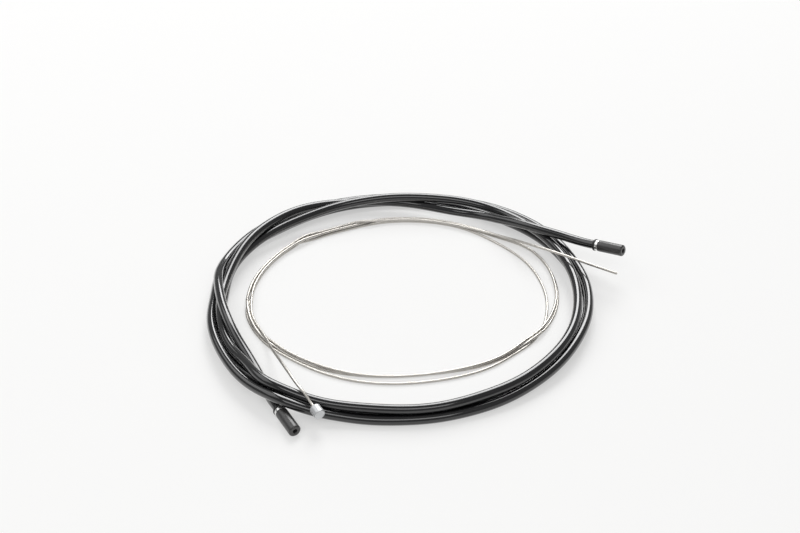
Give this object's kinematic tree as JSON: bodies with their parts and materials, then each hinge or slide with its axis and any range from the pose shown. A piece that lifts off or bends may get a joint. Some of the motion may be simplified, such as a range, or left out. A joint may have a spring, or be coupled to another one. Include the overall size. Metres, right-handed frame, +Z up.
{
  "type": "bicycle shift cable",
  "caption": "Coiled gear cable set: black outer housing with metal-banded ferrules on both ends, and a coiled stranded inner wire with a cast head, lying inside the housing's coil",
  "frame": {"origin": "centre of the bounding box on the surface that the cable lies on", "axes": "+Z is up from that surface. The coils turn about +Z. The front ferrule and the wire's head lie on the -Y side, and the rear ferrule and the wire's free end on the +X side"},
  "size_m": [0.182, 0.1699, 0.0176],
  "materials": {
    "housing_jacket": "glossy",
    "ferrule_body": "satin",
    "ferrule_band": "bright turned",
    "ferrule_seal": "matte",
    "wire": "drawn strands",
    "wire_head": "cast, matte"
  },
  "bodies": {
    "root": {"housing_coil": "housing_jacket", "housing_front_tail": "housing_jacket", "housing_rear_tail": "housing_jacket", "front_ferrule": "ferrule_body", "front_ferrule_band": "ferrule_band", "front_ferrule_seal": "ferrule_seal", "rear_ferrule": "ferrule_body", "rear_ferrule_band": "ferrule_band", "rear_ferrule_seal": "ferrule_seal", "wire_coil": "wire", "wire_head_tail": "wire", "wire_free_tail": "wire", "wire_head": "wire_head"}
  },
  "joints": []
}
